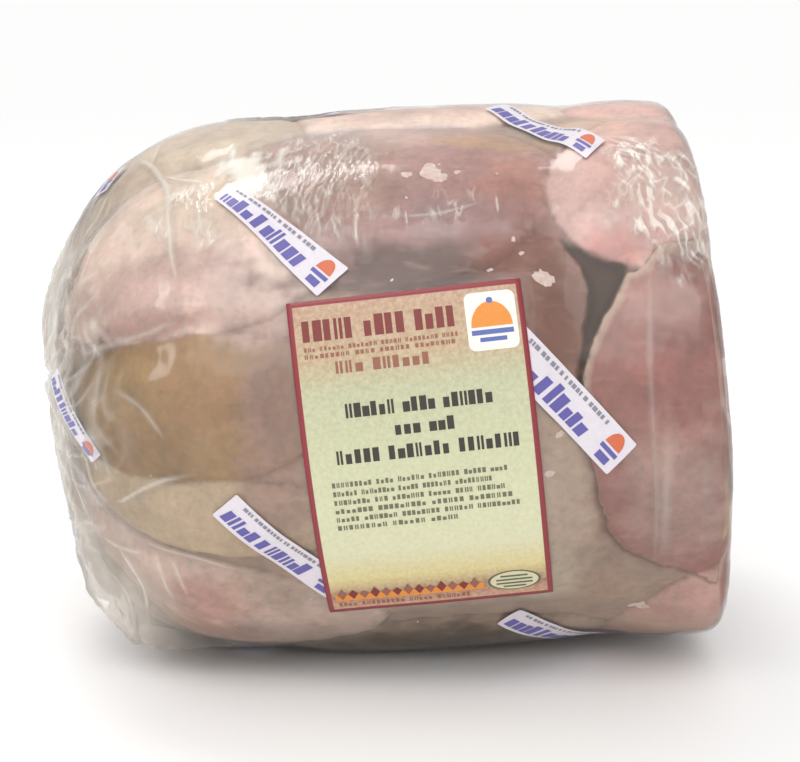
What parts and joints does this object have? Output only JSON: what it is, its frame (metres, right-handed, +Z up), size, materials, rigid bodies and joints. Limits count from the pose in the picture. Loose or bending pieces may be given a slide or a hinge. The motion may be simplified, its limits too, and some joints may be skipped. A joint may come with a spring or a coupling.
{
  "type": "tongue head cheese",
  "caption": "Half loaf of pressed tongue meat, round at one end and cut flat at the other, sealed in clear printed film with a paper label on its side.",
  "frame": {"origin": "on the floor under the middle of the loaf's bounding box", "axes": "+X along the loaf from its round gathered end to its cut end, -Y towards the label, +Z up"},
  "size_m": [0.1859, 0.1513, 0.1502],
  "materials": {
    "film_over_meat": "clear glossy film over pale pink and brown meat",
    "paper": "semi-gloss printed paper"
  },
  "bodies": {
    "root": {"loaf": "film_over_meat", "label": "paper"}
  },
  "joints": []
}
